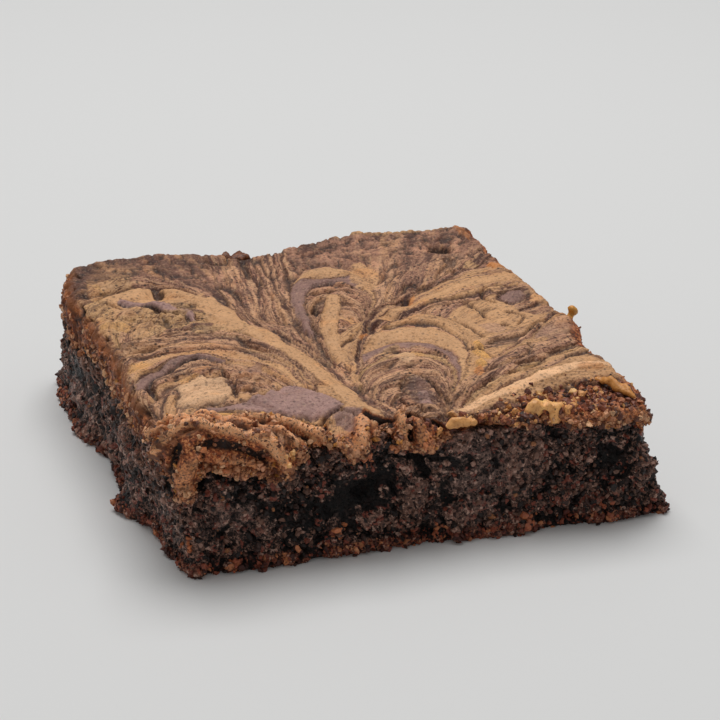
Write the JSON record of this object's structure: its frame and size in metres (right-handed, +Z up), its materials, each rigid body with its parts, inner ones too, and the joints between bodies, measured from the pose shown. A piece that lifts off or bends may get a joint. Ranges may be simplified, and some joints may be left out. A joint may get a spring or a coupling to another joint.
{
  "type": "chocolate brownie",
  "caption": "Square-cut chocolate brownie with a peanut-swirled crust on top and crumbly cut sides, flat underneath.",
  "frame": {"origin": "middle of the footprint's bounding box, on the flat underside", "axes": "+Z up out of the swirled top, -Y out of the cut front, +X along the front to the right"},
  "size_m": [0.0866, 0.0866, 0.0243],
  "materials": {
    "brownie_crumb": "moist dark chocolate crumb under a dry browned crust with tan and brown peanut swirls"
  },
  "bodies": {
    "root": {"brownie": "brownie_crumb"}
  },
  "joints": []
}
